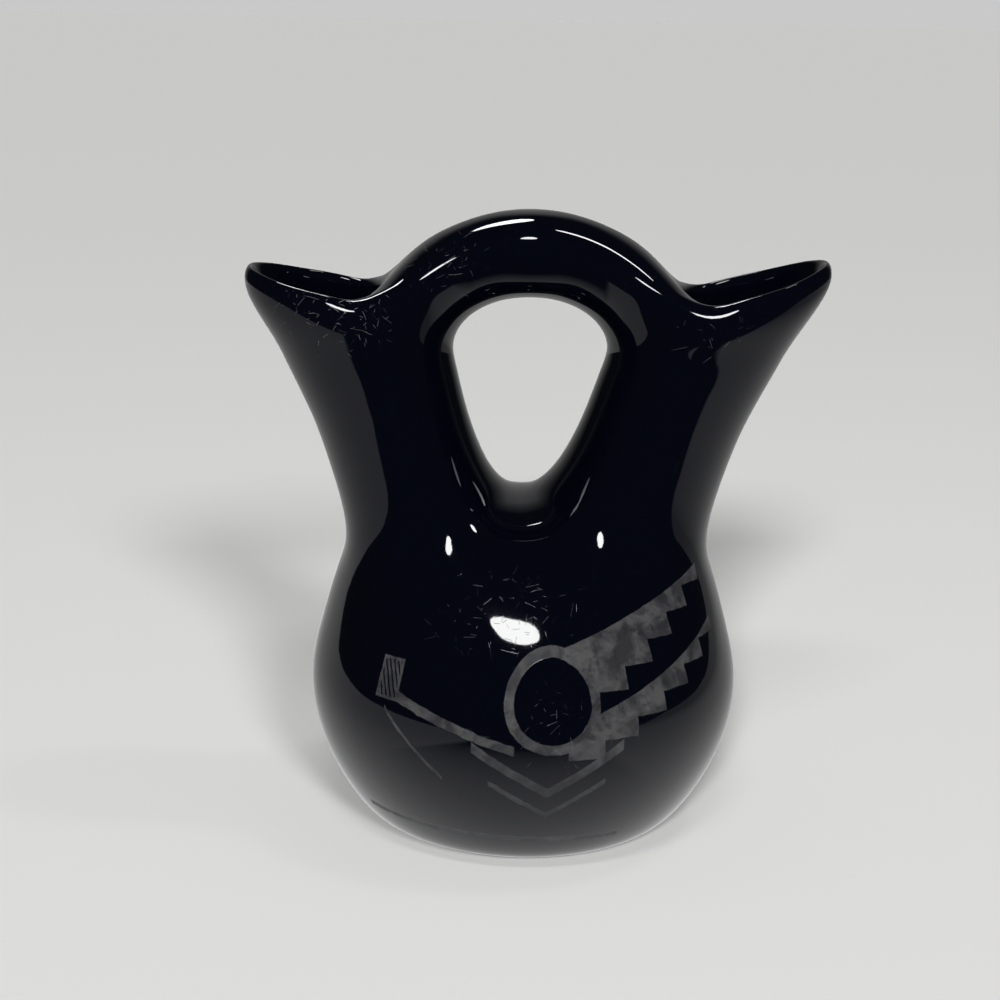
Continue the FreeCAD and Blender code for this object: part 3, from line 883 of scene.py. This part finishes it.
def glaze_material():
    material = bpy.data.materials.new("black_glaze")
    tree = new_tree(material)
    coordinates = tree.nodes.new("ShaderNodeTexCoord")
    scaled = tree.nodes.new("ShaderNodeVectorMath")
    scaled.operation = "SCALE"
    feed(scaled.inputs["Scale"], PER_METRE)
    feed(scaled.inputs[0], Signal(coordinates.outputs["Object"]))
    place = Signal(scaled.outputs[0])
    x, y, z = split(place)
    _, back, _ = split(Signal(coordinates.outputs["Normal"]))
    in_front = operate("LESS_THAN", back, 0.0)

    wobble = noise(place, *WOBBLE_NOISE) - 0.5
    along = operate("ARCTAN2", x, 0.0 - y) * size("bulb_radius") + wobble * WOBBLE_ALONG
    up = z + wobble * WOBBLE_UP
    matte = ramp(decoration(along, up), -EDGE_WIDTH / 2, EDGE_WIDTH / 2) * in_front
    grain = noise(place, *GRAIN_NOISE)
    thick = ramp(noise(place, *THICKNESS_NOISE), *THICKNESS_RANGE)
    rubbed = ramp(noise(place, *RUBBED_NOISE), *RUBBED_RANGE)
    # The matte fields made darker towards the foot.
    low_darkening = LOW_DARKENING_SHARE - ramp(z, *LOW_DARKENING_HEIGHTS) * LOW_DARKENING_SHARE
    marks = scratches(x, y, z)
    clay = 1.0 - ramp(z, *CLAY_HEIGHTS)

    matte_colour = blend(thick, THIN_COLOUR, THICK_COLOUR)
    matte_colour = blend(most(rubbed * RUBBED_SHARE, low_darkening), matte_colour, RUBBED_OR_DARKER_COLOUR)
    colour = blend(matte, GLAZE_COLOUR, matte_colour)
    colour = blend(marks, colour, SCRATCH_COLOUR)
    colour = blend(clay, colour, CLAY_COLOUR)
    roughness = GLAZE_ROUGHNESS + grain * GLAZE_GRAIN
    matte_roughness = MATTE_ROUGHNESS + grain * MATTE_GRAIN - rubbed * MATTE_GRAIN
    roughness = roughness + matte * matte_roughness
    roughness = most(roughness, marks * SCRATCH_ROUGHNESS, clay * CLAY_ROUGHNESS)
    normal = bump(noise(place, *WAVE_NOISE), WAVE_RELIEF)
    normal = bump(noise(place, *PEEL_NOISE), PEEL_RELIEF, normal)
    normal = bump(matte * (grain * 0.5 - 1.0) - marks, ETCHED_RELIEF, normal)

    shader = tree.nodes.new("ShaderNodeBsdfPrincipled")
    feed(shader.inputs["Base Color"], colour)
    feed(shader.inputs["Roughness"], roughness)
    feed(shader.inputs["Normal"], normal)
    feed(shader.inputs["IOR"], GLAZE_IOR)
    finish_tree(tree, shader)
    return material


vase = vase_object()
vase.data.materials.append(glaze_material())
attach(vase, "root")
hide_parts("vase")

# The camera as fitted to the photo: millimetres of film and lens, its place
# in metres, and the degrees that it looks up from straight down and leans.
FILM_WIDTH, LENS = 36, 69.95
CAMERA_PLACE = (-0.01309, -0.700, 0.2998)
CAMERA_RISE, CAMERA_LEAN = 75.714, -1.0

camera_data = bpy.data.cameras.new("camera")
camera_data.sensor_width = FILM_WIDTH
camera_data.lens = LENS
camera = bpy.data.objects.new("camera", camera_data)
bpy.context.collection.objects.link(camera)
camera.location = CAMERA_PLACE
camera.rotation_euler = (math.radians(CAMERA_RISE), math.radians(CAMERA_LEAN), 0)
bpy.context.scene.camera = camera

# The floor's side in metres, and its colour.
FLOOR_SIZE, FLOOR_COLOUR = 80, (0.78, 0.78, 0.77, 1)


def floor_material():
    material = bpy.data.materials.new("pale_floor")
    tree = new_tree(material)
    shader = tree.nodes.new("ShaderNodeBsdfDiffuse")
    feed(shader.inputs["Color"], FLOOR_COLOUR)
    finish_tree(tree, shader)
    return material


bpy.ops.mesh.primitive_plane_add(size=FLOOR_SIZE)
floor = bpy.context.object
floor.name = "floor"
floor.data.materials.append(floor_material())

# Painted reflections: the rest of the room is glowing sheets, no lamps, that only the glaze's
# reflections show: a painted pale wall behind, a painted pale table that ends in front, and
# painted dark elsewhere. Metres.
ROOM_RADIUS, TABLE_LIFT = 1.75, 0.001
# How bright the painted dark, the painted wall and the painted table are.
ROOM_DARK, WALL_SHADE, TABLE_SHADE = 0.014, 0.28, 0.38
# The painted wall sets in between these angles from the front, and fades between these
# heights, as shares of the room's radius.
WALL_SIDES = (math.radians(136), math.radians(158))
WALL_FADE = (math.sin(math.radians(38)), math.sin(math.radians(50)))
# The painted pool of light that the painted table has more close to the vase, how far out
# that starts to fall and how fast; and the share that it loses to painted shade at the right,
# from where to where.
GLOW, GLOW_START, GLOW_FALL = 0.45, 0.06, 10.0
RIGHT_LOSS, RIGHT_FADE = 0.5, (0.35, 0.7)
# The painted table's front edge, past which its reflection is painted dark, has three
# stretches: where they meet in x, where each lies in y, and how soft it is.
LEFT_MEETS_MIDDLE, MIDDLE_MEETS_RIGHT = (-0.22, -0.12), (0.08, 0.20)
LEFT_EDGE, MIDDLE_EDGE, RIGHT_EDGE = -0.78, -0.26, -0.43
MIDDLE_SOFTNESS, SIDE_SOFTNESS = 0.20, 0.05


# Painted reflection: the room sheet's glow, a pale wall behind and dark elsewhere.
def painted_room_shade(x, y, z):
    wall = ramp(size_of(operate("ARCTAN2", x, 0.0 - y)), *WALL_SIDES)
    wall = wall * (1.0 - ramp(z / ROOM_RADIUS, *WALL_FADE))
    return wall * (WALL_SHADE - ROOM_DARK) + ROOM_DARK


# Painted reflection: the table sheet's glow, with a painted pool of light near the vase,
# painted shade at the right and painted dark past its front edge.
def painted_table_shade(x, y, _):
    away = operate("SQRT", x * x + y * y)
    level = operate("EXPONENT", (GLOW_START - away) * GLOW_FALL) * GLOW + TABLE_SHADE
    level = level * (1.0 - ramp(x, *RIGHT_FADE) * RIGHT_LOSS)
    past_left, past_middle = ramp(x, *LEFT_MEETS_MIDDLE), ramp(x, *MIDDLE_MEETS_RIGHT)
    edge = past_left * (MIDDLE_EDGE - LEFT_EDGE) + LEFT_EDGE
    edge = edge + past_middle * (RIGHT_EDGE - MIDDLE_EDGE)
    middle = past_left * (1.0 - past_middle)
    softness = middle * (MIDDLE_SOFTNESS - SIDE_SOFTNESS) + SIDE_SOFTNESS
    share = operate("DIVIDE", y - edge, softness, clamp=True)
    return share * (level - ROOM_DARK) + ROOM_DARK


def painted_reflection_sheet(item, shade):
    """A glowing sheet, no lamp, that paints a reflection which only the glaze shows."""
    material = bpy.data.materials.new(item.name)
    tree = new_tree(material)
    coordinates = tree.nodes.new("ShaderNodeTexCoord")
    shader = tree.nodes.new("ShaderNodeEmission")
    feed(shader.inputs["Strength"], shade(*split(Signal(coordinates.outputs["Object"]))))
    finish_tree(tree, shader)
    item.data.materials.append(material)
    item.visible_camera = False
    item.visible_diffuse = False
    item.visible_shadow = False
    item.visible_transmission = False


# Two glowing sheets of painted reflection, no lamps: the room and the table.
bpy.ops.mesh.primitive_uv_sphere_add(radius=ROOM_RADIUS)
bpy.context.object.name = "painted_room_reflection"
painted_reflection_sheet(bpy.context.object, painted_room_shade)
bpy.ops.mesh.primitive_plane_add(size=2 * ROOM_RADIUS, location=(0, 0, TABLE_LIFT))
bpy.context.object.name = "painted_table_reflection"
painted_reflection_sheet(bpy.context.object, painted_table_shade)

# Lamps look at a point this high, from these distances. Azimuths are degrees
# from the front to the right, and elevations are degrees up.
AIM_HEIGHT, SOFT_BOX_DISTANCE, FAR_LAMP_DISTANCE = 0.1, 1.4, 3.0


def place_lamp(data, azimuth, elevation, distance):
    item = bpy.data.objects.new(data.name, data)
    bpy.context.collection.objects.link(item)
    a, e = math.radians(azimuth), math.radians(elevation)
    out = Vector((math.sin(a) * math.cos(e), -math.cos(a) * math.cos(e), math.sin(e)))
    item.location = Vector((0, 0, AIM_HEIGHT)) + out * distance
    item.rotation_euler = out.to_track_quat("Z", "Y").to_euler()
    return item


def soft_box(name, azimuth, elevation, width, height, power):
    """An oval lamp that the glaze mirrors, in metres and watts."""
    data = bpy.data.lights.new(name, "AREA")
    data.shape = "ELLIPSE"
    data.size, data.size_y = width, height
    data.energy = power
    return place_lamp(data, azimuth, elevation, SOFT_BOX_DISTANCE)


def far_lamp(name, azimuth, elevation, strength, angle):
    """A sun with its angle across in radians, which the glaze doesn't mirror."""
    data = bpy.data.lights.new(name, "SUN")
    data.energy = strength
    data.angle = angle
    place_lamp(data, azimuth, elevation, FAR_LAMP_DISTANCE).visible_glossy = False


soft_box("lamp_front", azimuth=-5, elevation=51, width=0.42, height=0.15, power=3.4)
soft_box("lamp_strip", azimuth=80, elevation=67, width=0.08, height=0.24, power=1.1)
# The one above lights nothing and is only mirrored.
lamp_above = soft_box(
    "lamp_above", azimuth=-157, elevation=66, width=0.56, height=0.25, power=7.5
)
lamp_above.visible_diffuse = False
far_lamp("lamp_left", azimuth=-8, elevation=25, strength=2.96, angle=0.15)
far_lamp("lamp_right", azimuth=16, elevation=26, strength=1.71, angle=0.17)

# The world's strength as a light, and as it is seen: as bright as the floor
# where that ends, so that there is no horizon.
WORLD_COLOUR, WORLD_LIGHT, WORLD_SEEN = (0.9, 0.9, 0.9, 1), 0.12, 0.648
SEEING_RAYS = ("Is Camera Ray", "Is Glossy Ray", "Is Transmission Ray")

world = bpy.data.worlds.new("world")
bpy.context.scene.world = world
world.use_nodes = True
background = world.node_tree.nodes["Background"]
feed(background.inputs["Color"], WORLD_COLOUR)
light_path = world.node_tree.nodes.new("ShaderNodeLightPath")
seen = most(*(Signal(light_path.outputs[ray]) for ray in SEEING_RAYS))
feed(background.inputs["Strength"], seen * (WORLD_SEEN - WORLD_LIGHT) + WORLD_LIGHT)

bpy.context.scene.view_settings.view_transform = "Standard"
